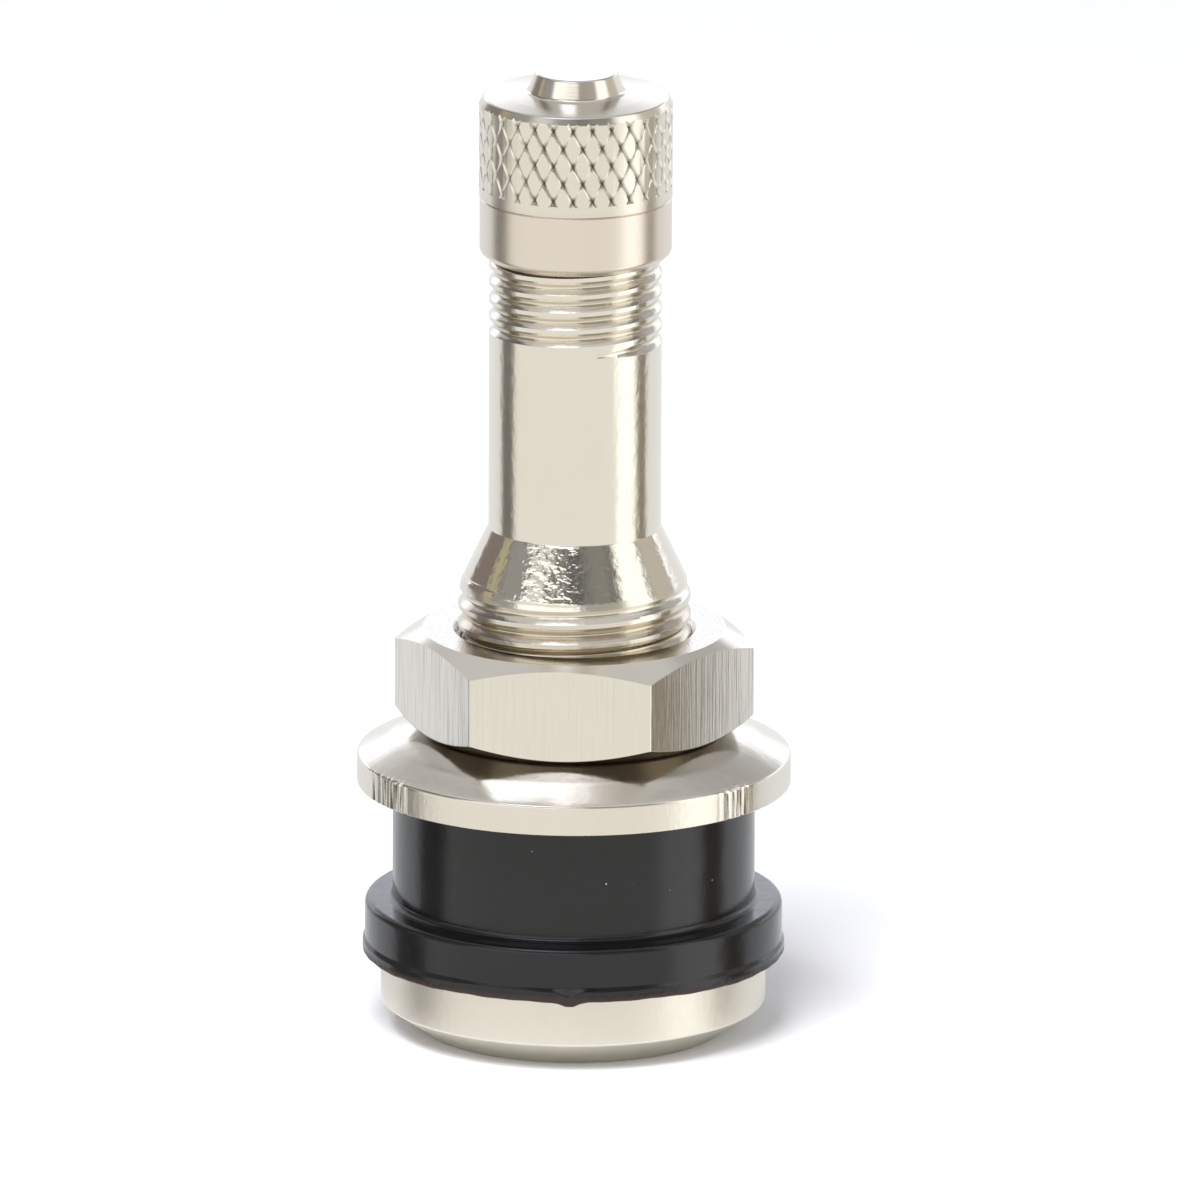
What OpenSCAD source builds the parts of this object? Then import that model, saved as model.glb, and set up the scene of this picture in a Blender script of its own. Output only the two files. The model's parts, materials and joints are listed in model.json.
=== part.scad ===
// Clamp-in tyre valve for a wheel rim: a turned stem with its head in the tyre, a rubber seal round the
// shank, a dished washer and a hexagon nut that clamp the rim, a screw-in valve core and a knurled cap.
// Millimetres, +Z up along the stem. The origin is the centre of the flat foot under the head.
// The outside threads of the stem are drawn as rings of their pitch, the other threads as plain cylinders.

/* [Head] */
// Diameter of the head, which stays inside the tyre
head_d = 17.2; // [14:0.1:18.4]
// Height of the head, from its foot to the face that the seal sits on
head_h = 3.55; // [2.4:0.05:6]
// Height of the bevel from the foot to the side of the head
head_bevel_h = 1.3; // [0.4:0.1:2]
// Width of that bevel, seen from below
head_bevel_w = 1.9; // [0.4:0.1:3]

/* [Shank and stem] */
// Outside diameter of the clamping thread on the shank
shank_d = 10.4; // [9.6:0.1:11.2]
// Length of clamping thread that stands clear above the nut
shank_spare = 1.93; // [0.5:0.01:6]
// Pitch of the clamping thread
clamp_pitch = 0.907; // [0.75:0.001:1.2]
// Height of the shoulder that tapers from the shank to the stem
shoulder_h = 2.8; // [1:0.1:5]
// Diameter of the plain stem
stem_d = 7.72; // [7.2:0.02:8.4]
// Length of the plain stem, from the shoulder to the cap thread
stem_len = 9.35; // [4:0.05:20]
// Outside diameter of the cap thread
neck_d = 7.72; // [7.2:0.02:8.4]
// Length of the cap thread, up to the mouth
neck_len = 8.55; // [7:0.05:12]
// Pitch of the cap thread
cap_pitch = 0.794; // [0.7:0.001:0.9]
// Depth of both threads, as a share of their pitch
thread_depth = 0.5; // [0.3:0.02:0.6]
// Length of the groove that the cap thread runs out in
runout_h = 0.8; // [0.4:0.05:1.2]
// Depth of that groove
runout_depth = 0.45; // [0.1:0.05:0.5]
// Chamfer on the turned edges
edge = 0.2; // [0.1:0.05:0.3]

/* [Airway] */
// Diameter of the air passage through the head and the shank
passage_d = 3; // [2:0.1:3.6]
// Outside diameter of the thread that the core screws into
core_bore_d = 5.25; // [5:0.05:5.5]
// Diameter of the chamber round the barrel of the core
chamber_d = 4.1; // [3.95:0.05:4.5]
// Height of the tapered seat between that thread and the chamber
seat_taper_h = 1.2; // [0.9:0.1:2]
// Room left under the pin when it is pressed right down
chamber_spare = 1.3; // [0.5:0.1:2]

/* [Seal] */
// Diameter of the sleeve that fills the hole in the rim
sleeve_d = 16.2; // [14.5:0.1:17.5]
// Diameter of the flange that seals on the inside of the rim
flange_d = 18.66; // [18:0.02:22]
// Height of the flange
flange_h = 2.4; // [1.5:0.05:4]
// Space for the rim, between the flange and the edge of the washer
rim_gap = 5.32; // [3:0.02:12]
// How far the moulding lip stands out round the foot of the flange
lip_w = 0.12; // [0.05:0.01:0.3]
// Height of that lip
lip_h = 0.5; // [0.2:0.05:0.8]
// Rounding where the sleeve meets the flange, and on the flange's upper edge
seal_round = 0.25; // [0.1:0.05:0.4]

/* [Washer and nut] */
// How far the washer's rim reaches past the flange's lip, all round
washer_reach = 0.25; // [0:0.05:2]
// Thickness of the washer's sheet
washer_t = 1.36; // [0.8:0.02:2]
// Height of the washer's dish
washer_rise = 1.17; // [0.4:0.01:2]
// Rounding on the upper edge of the washer's rim
washer_round = 0.2; // [0.05:0.05:0.4]
// Width of the nut across its flats
nut_af = 14; // [13:0.1:16]
// Height of the nut
nut_h = 4.57; // [3:0.01:8]
// How far the round seat of the nut lies inside its flats
nut_seat_inset = 0.25; // [0.1:0.05:0.6]
// Slope of the bevel on the nut's corners, in degrees
nut_bevel_deg = 30; // [15:1:40]
// Turn of the nut from a flat facing the front, in degrees
nut_turn_deg = -5.2; // [-30:0.1:30]

/* [Cap] */
// Wall of the cap's skirt outside its thread
cap_wall = 0.41; // [0.35:0.01:1.2]
// How far the cap comes down over the cap thread
cap_cover = 5.47; // [4.8:0.01:6.4]
// Thickness of the cap's roof
cap_roof = 0.93; // [0.6:0.01:2]
// Height of the grip, with the knurl and the narrow plain band below it
grip_h = 4.28; // [2:0.02:5]
// How far the plain skirt lies inside the grip
skirt_step = 0.02; // [0.01:0.01:0.2]
// Height of the chamfer at the foot of the skirt
skirt_bevel_h = 0.28; // [0.2:0.02:0.8]
// Width of the flat edge at the foot of the skirt
skirt_land = 0.05; // [0.02:0.01:0.2]
// Height of the bevel round the roof
roof_bevel_h = 0.33; // [0.1:0.01:0.6]
// Width of that bevel
roof_bevel_w = 0.18; // [0.05:0.01:0.6]
// Diameter of the button on the roof, at its foot
button_d = 4.46; // [2:0.05:6]
// Height of the button
button_h = 1.1; // [0.3:0.05:2]
// How far the button's side leans in
button_lean = 0.48; // [0.1:0.02:0.8]
// Thickness of the rubber gasket in the cap
cap_gasket_t = 0.95; // [0.5:0.05:2]

/* [Valve core] */
// How far the top of the core lies below the mouth
core_recess = 0.9; // [0.5:0.05:2]
// Height of the bridge that guides the pin
bridge_h = 1.1; // [0.6:0.1:2]
// Width of the bridge
bridge_w = 1.9; // [1.5:0.05:2.3]
// Height of the core's threaded ring
plug_h = 3.2; // [2:0.1:5]
// Bore of the threaded ring
plug_bore_d = 2.9; // [2.7:0.05:3.6]
// Outside diameter of the core's barrel
barrel_d = 3.7; // [3.5:0.05:3.8]
// Wall of the barrel
barrel_wall = 0.4; // [0.25:0.05:0.45]
// Length of the barrel
barrel_len = 8.4; // [8.1:0.1:12]
// Height of the barrel's collar and of the ledge inside its lower end
barrel_ledge_h = 0.6; // [0.3:0.05:1]
// Hole through that ledge
ledge_hole_d = 1.8; // [1.4:0.05:2]
// Diameter of the pin
pin_d = 1.1; // [0.8:0.05:1.25]
// How far the tip of the pin lies below the mouth
pin_recess = 0.3; // [0:0.05:0.45]
// How far the pin can be pressed down
pin_travel = 2.2; // [1:0.1:2.5]
// Diameter of the pin's collar, which the spring pushes up
collar_d = 2.5; // [2.3:0.05:2.7]
// Length of the spring at rest
spring_len = 6; // [5:0.1:6.4]
// Diameter of the spring's wire
wire_d = 0.32; // [0.2:0.02:0.36]
// Turns in the spring
spring_turns = 7; // [4:1:8]
// Diameter of the rubber seat on the foot of the pin
seat_d = 2.8; // [2.5:0.05:3]
// Height of that seat
seat_h = 1.1; // [0.8:0.05:1.6]
// Wall and floor of the cup that holds the seat
cup_wall = 0.35; // [0.2:0.05:0.4]

/* [Fits] */
// Radial clearance of the nut and the cap on their threads
thread_gap = 0.04; // [0.02:0.01:0.1]
// Radial clearance of the washer on the shank
washer_gap = 0.2; // [0.1:0.05:0.4]
// Radial clearance of the rubber pieces, and of the core in its bore
snug_gap = 0.03; // [0.01:0.01:0.05]
// Radial clearance of the pin in its bridge
pin_gap = 0.06; // [0.03:0.01:0.1]

/* [Hidden] */
$fn = 96;

// Colours
nickel = [0.80, 0.77, 0.71];
rubber = [0.13, 0.13, 0.14];
brass = [0.78, 0.66, 0.38];
steel = [0.72, 0.72, 0.73];
packing = [0.62, 0.16, 0.13];

// Radii
head_r = head_d / 2;
shank_r = shank_d / 2;
stem_r = stem_d / 2;
neck_r = neck_d / 2;
core_bore_r = core_bore_d / 2;
chamber_r = chamber_d / 2;
grommet_bore_r = shank_r + snug_gap;
sleeve_r = sleeve_d / 2;
flange_r = flange_d / 2;
lip_r = flange_r + lip_w;
washer_r = lip_r + washer_reach;
nut_corner_r = nut_af / 2 / cos(30);
nut_seat_r = nut_af / 2 - nut_seat_inset;
cap_bore_r = neck_r + thread_gap;
grip_r = cap_bore_r + cap_wall;
skirt_r = grip_r - skirt_step;
barrel_r = barrel_d / 2;
barrel_bore_r = barrel_r - barrel_wall;
plug_r = core_bore_r - snug_gap;
pin_r = pin_d / 2;
seat_r = seat_d / 2;

// Heights from the foot up, as the pieces stack on the stem
z_flange = head_h + flange_h;
z_sleeve = z_flange + seal_round;
z_washer_edge = z_flange + rim_gap;
z_washer_under = z_washer_edge + washer_rise;
z_nut = z_washer_under + washer_t;
z_nut_top = z_nut + nut_h;
z_shoulder = z_nut_top + shank_spare;
z_stem = z_shoulder + shoulder_h;
z_runout = z_stem + stem_len;
z_neck = z_runout + runout_h;
z_mouth = z_runout + neck_len;

// Heights in the cap
z_cap = z_mouth - cap_cover;
z_cap_roof = z_mouth + cap_gasket_t;
z_cap_top = z_cap_roof + cap_roof;
z_grip = z_cap_top - roof_bevel_h - grip_h;

// Heights in the core, from the mouth down
z_bridge = z_mouth - core_recess;
z_plug_top = z_bridge - bridge_h;
z_barrel_top = z_plug_top - plug_h;
z_packing = z_barrel_top - barrel_ledge_h;
z_barrel_foot = z_barrel_top - barrel_len;
z_ledge = z_barrel_foot + barrel_ledge_h;
z_collar = z_ledge + spring_len;
z_cup = z_barrel_foot - seat_h - cup_wall;
z_pin_foot = z_cup - cup_wall;
z_chamber = z_pin_foot - pin_travel - chamber_spare;

// The tapered seat in the stem, and the stretch of it that the packing ring touches
packing_land = 0.5;
packing_gap = 0.15;
packing_seal_h = 0.75;
taper_slope = (core_bore_r - chamber_r) / seat_taper_h;
z_taper = z_packing - packing_land;
packing_r = core_bore_r - packing_gap;
z_packing_seal = z_taper - packing_gap / taper_slope;
z_packing_foot = z_packing_seal - packing_seal_h;
packing_foot_r = packing_r - packing_seal_h * taper_slope;

// Width of the flat crest of both threads, as a share of their pitch
thread_land = 0.12;

// The washer's flat seat lines up with the round seat of the nut
seat_margin = 0.15;
washer_hole_r = shank_r + washer_gap;
washer_flat_r = nut_seat_r + seat_margin;

// The barrel's top stands out to this radius inside the core thread
barrel_collar_r = (barrel_r + plug_r) / 2;

// The spring lies midway between the pin and the barrel
spring_r = (pin_r + barrel_bore_r) / 2;
wire_sides = 6;
steps_per_turn = 12;

// Turns a half section, given as [radius, height] points, about the stem
module turned(section) {
    rotate_extrude()
        polygon(section);
}

// Half section of an outside thread, from its lowest turn up
function thread_rings(crest_r, pitch, z_first, turns) =
    let (side = pitch * (1 - thread_land) / 2)
    [
        for (turn = [0:turns - 1])
            let (z = z_first + pitch * (turn + 0.5))
            each [
                [crest_r, z - side],
                [crest_r - pitch * thread_depth, z],
                [crest_r, z + side],
            ]
    ];

module valve_stem() {
    clamp_turns = floor((z_shoulder - z_washer_edge) / clamp_pitch);
    cap_turns = floor((z_mouth - edge - z_neck) / cap_pitch);
    foot = [
        [head_r - head_bevel_w, 0],
        [head_r, head_bevel_h],
        [head_r, head_h - edge],
        [head_r - edge, head_h],
        [shank_r, head_h],
    ];
    clamp_thread = thread_rings(shank_r, clamp_pitch, z_shoulder - clamp_turns * clamp_pitch, clamp_turns);
    plain_stem = [
        [shank_r, z_shoulder],
        [stem_r, z_stem],
        [stem_r, z_runout],
        [neck_r - runout_depth, z_runout + runout_h / 2],
        [neck_r, z_neck],
    ];
    cap_thread = thread_rings(neck_r, cap_pitch, z_neck, cap_turns);
    mouth = [
        [neck_r, z_mouth - edge],
        [neck_r - edge, z_mouth],
    ];
    airway = [
        [core_bore_r + edge, z_mouth],
        [core_bore_r, z_mouth - edge],
        [core_bore_r, z_taper],
        [chamber_r, z_taper - seat_taper_h],
        [chamber_r, z_chamber],
        [passage_d / 2, z_chamber - (chamber_r - passage_d / 2)],
        [passage_d / 2, 0],
    ];
    color(nickel)
        turned(concat(foot, clamp_thread, plain_stem, cap_thread, mouth, airway));
}

// The rubber seal is one moulding, drawn as the flange at its foot and the plain sleeve above it
module grommet_flange() {
    color(rubber)
        turned([
            [grommet_bore_r, head_h],
            [lip_r, head_h],
            [lip_r, head_h + lip_h],
            [flange_r, head_h + lip_h + lip_w],
            [flange_r, z_flange - seal_round],
            [flange_r - seal_round, z_flange],
            [sleeve_r + seal_round, z_flange],
            [sleeve_r, z_sleeve],
            [grommet_bore_r, z_sleeve],
        ]);
}

module grommet_sleeve() {
    color(rubber)
        turned([
            [grommet_bore_r, z_sleeve],
            [sleeve_r, z_sleeve],
            [sleeve_r, z_washer_edge],
            [washer_flat_r, z_washer_under],
            [grommet_bore_r, z_washer_under],
        ]);
}

module washer() {
    color(nickel)
        turned([
            [washer_hole_r, z_washer_under],
            [washer_flat_r, z_washer_under],
            [washer_r, z_washer_edge],
            [washer_r, z_washer_edge + washer_t - washer_round],
            [washer_r - washer_round, z_washer_edge + washer_t],
            [washer_flat_r, z_nut],
            [washer_hole_r, z_nut],
        ]);
}

module hex_nut() {
    bevel_h = (nut_corner_r - nut_seat_r) * tan(nut_bevel_deg);
    bore_r = shank_r + thread_gap;
    color(nickel)
        difference() {
            intersection() {
                translate([0, 0, z_nut])
                    rotate(nut_turn_deg)
                        cylinder(r = nut_corner_r, h = nut_h, $fn = 6);
                turned([
                    [0, z_nut],
                    [nut_seat_r, z_nut],
                    [nut_corner_r, z_nut + bevel_h],
                    [nut_corner_r, z_nut_top - bevel_h],
                    [nut_seat_r, z_nut_top],
                    [0, z_nut_top],
                ]);
            }
            turned([
                [0, z_nut - edge],
                [bore_r + 2 * edge, z_nut - edge],
                [bore_r, z_nut + edge],
                [bore_r, z_nut_top - edge],
                [bore_r + 2 * edge, z_nut_top + edge],
                [0, z_nut_top + edge],
            ]);
        }
}

module cap() {
    color(nickel)
        turned([
            [0, z_cap_roof],
            [cap_bore_r, z_cap_roof],
            [cap_bore_r, z_cap],
            [cap_bore_r + skirt_land, z_cap],
            [skirt_r, z_cap + skirt_bevel_h],
            [skirt_r, z_grip],
            [grip_r, z_grip + skirt_step],
            [grip_r, z_cap_top - roof_bevel_h],
            [grip_r - roof_bevel_w, z_cap_top],
            [button_d / 2, z_cap_top],
            [button_d / 2 - button_lean, z_cap_top + button_h],
            [0, z_cap_top + button_h],
        ]);
}

module cap_gasket() {
    color(rubber)
        translate([0, 0, z_mouth])
            cylinder(r = cap_bore_r - snug_gap, h = cap_gasket_t);
}

// The threaded ring of the core, with a bridge across its top that guides the pin
module core_plug() {
    bridge_root = bridge_h / 2;
    color(brass)
        difference() {
            union() {
                turned([
                    [plug_bore_d / 2, z_barrel_top],
                    [plug_r, z_barrel_top],
                    [plug_r, z_plug_top - edge],
                    [plug_r - edge, z_plug_top],
                    [plug_bore_d / 2, z_plug_top],
                ]);
                intersection() {
                    translate([-bridge_w / 2, -plug_r, z_plug_top - bridge_root])
                        cube([bridge_w, 2 * plug_r, bridge_h + bridge_root]);
                    translate([0, 0, z_plug_top - bridge_root])
                        cylinder(r = plug_r - 2 * edge, h = bridge_h + bridge_root);
                }
            }
            translate([0, 0, z_barrel_top])
                cylinder(r = pin_r + pin_gap, h = z_mouth - z_barrel_top);
        }
}

module core_barrel() {
    color(brass)
        turned([
            [ledge_hole_d / 2, z_barrel_foot],
            [barrel_r, z_barrel_foot],
            [barrel_r, z_packing],
            [barrel_collar_r, z_packing],
            [barrel_collar_r, z_barrel_top],
            [barrel_bore_r, z_barrel_top],
            [barrel_bore_r, z_ledge],
            [ledge_hole_d / 2, z_ledge],
        ]);
}

// The packing ring that seals the barrel on the tapered seat in the stem
module barrel_gasket() {
    color(packing)
        turned([
            [barrel_r, z_packing_foot],
            [packing_foot_r, z_packing_foot],
            [packing_r, z_packing_seal],
            [packing_r, z_packing],
            [barrel_r, z_packing],
        ]);
}

module core_pin() {
    tip_z = z_mouth - pin_recess;
    collar_h = barrel_ledge_h;
    rivet_r = pin_r + cup_wall;
    color(steel)
        turned([
            [0, z_pin_foot],
            [rivet_r, z_pin_foot],
            [rivet_r, z_cup],
            [pin_r, z_cup],
            [pin_r, z_collar],
            [collar_d / 2, z_collar],
            [collar_d / 2, z_collar + collar_h],
            [pin_r, z_collar + collar_h],
            [pin_r, tip_z - edge],
            [pin_r - edge, tip_z],
            [0, tip_z],
        ]);
}

// One point on the skin of the spring's wire, at a share along it and an angle round it
function wire_point(share, angle) =
    let (
        turn = 360 * spring_turns * share,
        wire_r = wire_d / 2,
        rise = spring_len - wire_d,
        out = spring_r + wire_r * cos(angle)
    )
    [out * cos(turn), out * sin(turn), z_ledge + wire_r + rise * share + wire_r * sin(angle)];

module core_spring() {
    rings = spring_turns * steps_per_turn;
    skin = [
        for (i = [0:rings], k = [0:wire_sides - 1])
            wire_point(i / rings, 360 * (k + 0.5) / wire_sides)
    ];
    sides = [
        for (i = [0:rings - 1], k = [0:wire_sides - 1])
            let (a = i * wire_sides + k, b = i * wire_sides + (k + 1) % wire_sides)
            [a, b, b + wire_sides, a + wire_sides]
    ];
    first_end = [for (k = [wire_sides - 1:-1:0]) k];
    last_end = [for (k = [0:wire_sides - 1]) rings * wire_sides + k];
    color(steel)
        polyhedron(points = skin, faces = concat(sides, [first_end, last_end]));
}

module seat_cup() {
    color(brass)
        turned([
            [pin_r, z_cup],
            [seat_r + cup_wall, z_cup],
            [seat_r + cup_wall, z_barrel_foot - seat_h / 2],
            [seat_r, z_barrel_foot - seat_h / 2],
            [seat_r, z_cup + cup_wall],
            [pin_r, z_cup + cup_wall],
        ]);
}

module seat_seal() {
    color(rubber)
        turned([
            [pin_r, z_barrel_foot - seat_h],
            [seat_r, z_barrel_foot - seat_h],
            [seat_r, z_barrel_foot],
            [pin_r, z_barrel_foot],
        ]);
}

valve_stem();
grommet_sleeve();
grommet_flange();
washer();
hex_nut();
cap();
cap_gasket();
core_plug();
core_barrel();
barrel_gasket();
core_pin();
core_spring();
seat_cup();
seat_seal();
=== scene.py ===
# %% [markdown]
# # A clamp-in tyre valve
# The valve stands on its head on a white table, with its knurled cap on top. The CAD model says where
# every piece is and how large it is. This lesson gives those pieces the shapes and finishes that plain
# solids lack: real threads, a knurl, rounded edges, plated metal and moulded rubber.

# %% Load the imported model
import json
import math

import bmesh
import bpy
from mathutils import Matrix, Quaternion, Vector, noise

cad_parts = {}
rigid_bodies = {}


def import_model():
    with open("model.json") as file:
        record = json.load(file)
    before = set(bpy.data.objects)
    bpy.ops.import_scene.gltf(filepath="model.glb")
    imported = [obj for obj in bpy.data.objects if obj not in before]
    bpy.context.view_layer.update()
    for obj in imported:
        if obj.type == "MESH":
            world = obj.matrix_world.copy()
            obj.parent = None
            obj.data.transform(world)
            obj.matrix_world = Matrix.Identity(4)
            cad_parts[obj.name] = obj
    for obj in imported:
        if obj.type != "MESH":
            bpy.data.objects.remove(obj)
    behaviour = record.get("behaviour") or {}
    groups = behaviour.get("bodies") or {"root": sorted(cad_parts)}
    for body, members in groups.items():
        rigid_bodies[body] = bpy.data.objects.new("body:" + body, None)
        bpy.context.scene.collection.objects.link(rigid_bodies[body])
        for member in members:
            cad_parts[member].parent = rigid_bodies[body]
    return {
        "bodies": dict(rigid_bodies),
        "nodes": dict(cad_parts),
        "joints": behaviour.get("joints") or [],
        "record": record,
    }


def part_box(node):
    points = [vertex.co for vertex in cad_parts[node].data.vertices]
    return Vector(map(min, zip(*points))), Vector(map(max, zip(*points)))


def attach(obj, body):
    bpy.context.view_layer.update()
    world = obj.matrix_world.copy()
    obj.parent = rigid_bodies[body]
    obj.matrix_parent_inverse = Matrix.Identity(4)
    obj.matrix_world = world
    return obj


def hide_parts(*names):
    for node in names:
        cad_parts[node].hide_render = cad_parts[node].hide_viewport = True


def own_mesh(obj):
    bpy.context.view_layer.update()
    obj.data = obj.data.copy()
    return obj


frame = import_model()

MM = 0.001

kept = set(frame["nodes"].values()) | set(frame["bodies"].values())
for thing in list(bpy.data.objects):
    if thing not in kept:
        bpy.data.objects.remove(thing)
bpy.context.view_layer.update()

# %% [markdown]
# ## Sizes from the frame
# Every size starts from the CAD model, so a piece made here fits the next one. A turned solid is a stack
# of rings: its mesh holds the radius and height of each corner of its outline. Reading them off is safer
# than typing them again. The thread pitches come from the couplings, which say how far the nut and the
# cap turn for each metre that they rise.

# %% Read the rings of turned nodes
SAME_PLACE = 0.012


def rings(node):
    """The (radius, height) corners of a turned CAD node, in millimetres."""
    found = set()
    for vertex in frame["nodes"][node].data.vertices:
        found.add((round(vertex.co.xy.length / MM, 2), round(vertex.co.z / MM, 2)))
    return found


def radii_at(node, height):
    """The radii of a node's rings at one height, the smallest first."""
    return sorted(r for r, z in rings(node) if abs(z - height) < SAME_PLACE)


def heights_at(node, radius):
    """The heights of a node's rings with one radius, the lowest first."""
    return sorted(z for r, z in rings(node) if abs(r - radius) < SAME_PLACE)


print("the stem's outline has", len(rings("valve_stem")), "corners")


# %% Read boxes and pitches
def span(node):
    """The lowest and highest point of a node, and its largest radius along X, in millimetres."""
    low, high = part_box(node)
    return round(low.z / MM, 3), round(high.z / MM, 3), round(high.x / MM, 3)


def pitch_of(joint):
    """How far a screwed piece rises in one turn, in millimetres."""
    for coupling in frame["record"]["behaviour"]["couplings"]:
        if coupling["joint"] == joint:
            return math.tau / coupling["ratio"] / MM


clamp_pitch = pitch_of("nut_turn")
cap_pitch = pitch_of("cap_turn")
print(f"pitches {clamp_pitch:.3f} and {cap_pitch:.3f} mm")

# %% Driving sizes
mounts = {mount["name"]: mount for mount in frame["record"]["mounts"]}
sleeve_r = mounts["rim_hole"]["dims"]["r_mm"]
stem_r = mounts["inflation_thread"]["dims"]["r_mm"]
_, mouth_z, head_r = span("valve_stem")
head_z, _, lip_r = span("grommet_flange")
_, sleeve_top_z, _ = span("grommet_sleeve")
washer_edge_z, nut_z, washer_r = span("washer")
_, nut_top_z, _ = span("hex_nut")
cap_z, button_z, grip_r = span("cap")
shank_r = radii_at("valve_stem", head_z)[0]
shoulder_z = heights_at("valve_stem", shank_r)[-1]
stem_z, runout_z = heights_at("valve_stem", stem_r)[:2]
print(f"radii: sleeve {sleeve_r} mm, shank {shank_r} mm, stem {stem_r} mm")

# %% [markdown]
# ## The camera
# The photo was taken from a little above, with a long lens, so the valve looks almost the same size from
# its foot to its cap. A 1500 mm lens far away does the same here. The frame is 53.6 mm wide at the stem,
# and the valve stands a little left of its middle.

# %% Camera
frame_width = 53.6 * MM
aim = Vector((1.14, 0, 19.6)) * MM
view_height = math.radians(15)
view_roll = math.radians(0.2)

lens = bpy.data.cameras.new("camera")
lens.sensor_width = 36
lens.lens = 1500
lens.clip_start = 0.01
lens.clip_end = 10
camera = bpy.data.objects.new("camera", lens)
bpy.context.scene.collection.objects.link(camera)
bpy.context.scene.camera = camera
distance = frame_width * lens.lens / lens.sensor_width
camera.location = aim + Vector((0, -math.cos(view_height), math.sin(view_height))) * distance
looking = (aim - camera.location).to_track_quat("-Z", "Y")
camera.rotation_euler = (looking @ Quaternion((0, 0, 1), view_roll)).to_euler()
bpy.context.scene.view_settings.view_transform = "Standard"
print(f"camera {distance:.3f} m away")

# %% [markdown]
# ## Shader maths in Python
# A finish is a tree of nodes. Writing it as sums and products is easier to read than a page of links, so
# one small class wraps a socket and turns Python's operators into Math nodes. Every other node comes from
# one method, which takes the node's type, its settings and what goes into its sockets.

# %% A socket with operators
class Wire:
    """An output socket of a node, which Python's operators carry on to new Math nodes."""

    def __init__(self, bench, socket):
        self.bench = bench
        self.socket = socket

    def maths(self, operation, first, second):
        return self.bench.node("ShaderNodeMath", {"operation": operation}, {0: first, 1: second})

    def __add__(self, other):
        return self.maths("ADD", self, other)

    def __radd__(self, other):
        return self.maths("ADD", other, self)

    def __sub__(self, other):
        return self.maths("SUBTRACT", self, other)

    def __rsub__(self, other):
        return self.maths("SUBTRACT", other, self)

    def __mul__(self, other):
        return self.maths("MULTIPLY", self, other)

    def __rmul__(self, other):
        return self.maths("MULTIPLY", other, self)

    def __pow__(self, other):
        return self.maths("POWER", self, other)


print("sockets can be added, subtracted, multiplied and raised to a power")

# %% A bench that holds a node tree
DEGREES = 180 / math.pi


class Bench:
    """A node tree that is built by one method."""

    def __init__(self, tree):
        self.tree = tree
        tree.nodes.clear()

    def node(self, kind, settings=None, sockets=None, output=0):
        made = self.tree.nodes.new(kind)
        for name, value in (settings or {}).items():
            setattr(made, name, value)
        for name, value in (sockets or {}).items():
            if isinstance(value, Wire):
                self.tree.links.new(value.socket, made.inputs[name])
            else:
                made.inputs[name].default_value = value
        return Wire(self, made.outputs[output]) if len(made.outputs) else made

    def split(self, vector):
        """The X, Y and Z of a vector."""
        return [self.node("ShaderNodeSeparateXYZ", {}, {0: vector}, output=axis) for axis in "XYZ"]

    def bearing_of(self, x, y):
        """The direction of a place seen from the stem's axis: 0 degrees in front, 90 at the right."""
        return self.node("ShaderNodeMath", {"operation": "ARCTAN2"}, {0: x, 1: 0 - y}) * DEGREES

    def between(self, value, low, high):
        """Rises smoothly from 0 to 1 as the value goes from low to high."""
        return self.node("ShaderNodeMapRange", {"interpolation_type": "SMOOTHSTEP", "clamp": True},
                         {"Value": value, "From Min": low, "From Max": high})

    def within(self, value, low, high, blur):
        """1 where the value lies between low and high, with soft ends."""
        start = self.between(value, low - blur, low + blur)
        return start * (1 - self.between(value, high - blur, high + blur))

    def mix(self, factor, first, second):
        """A colour that goes from the first to the second as the factor goes from 0 to 1."""
        sockets = {0: factor, 6: first, 7: second}
        return self.node("ShaderNodeMix", {"data_type": "RGBA"}, sockets, output=2)


def rgb(red, green, blue):
    """A colour as a socket wants it."""
    return (red, green, blue, 1.0)


print("node bench ready")

# %% [markdown]
# ## Light
# Polished metal shows what stands round it, so the light is what makes it look like metal. The photo was
# lit in a white tent: a pale table in front, a bright panel at the right, and dark gaps where the tent
# ends. They show as a bright strip and two dark lines down every round piece. Lamps could make them, but
# a World that is painted by direction puts them exactly where they belong, and it has no edges that could
# get in the way of another view. Height and direction are angles seen from the valve, in degrees. The
# camera itself sees plain white behind the valve.

# %% Directions in the tent
world = bpy.data.worlds.new("light_tent")
bpy.context.scene.world = world
world.use_nodes = True
sky = Bench(world.node_tree)
toward = sky.node("ShaderNodeTexCoord", output="Generated")
toward_x, toward_y, toward_z = sky.split(toward)
bearing = sky.bearing_of(toward_x, toward_y)
height = sky.node("ShaderNodeMath", {"operation": "ARCSINE"}, {0: toward_z}) * DEGREES


def panel(left, right, low, high, blur=3.0, blur_up=6.0):
    """A soft-edged patch of the tent between two bearings and two heights."""
    return sky.within(bearing, left, right, blur / 2) * sky.within(height, low, high, blur_up / 2)


print("directions ready:", len(sky.tree.nodes), "nodes")

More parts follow.
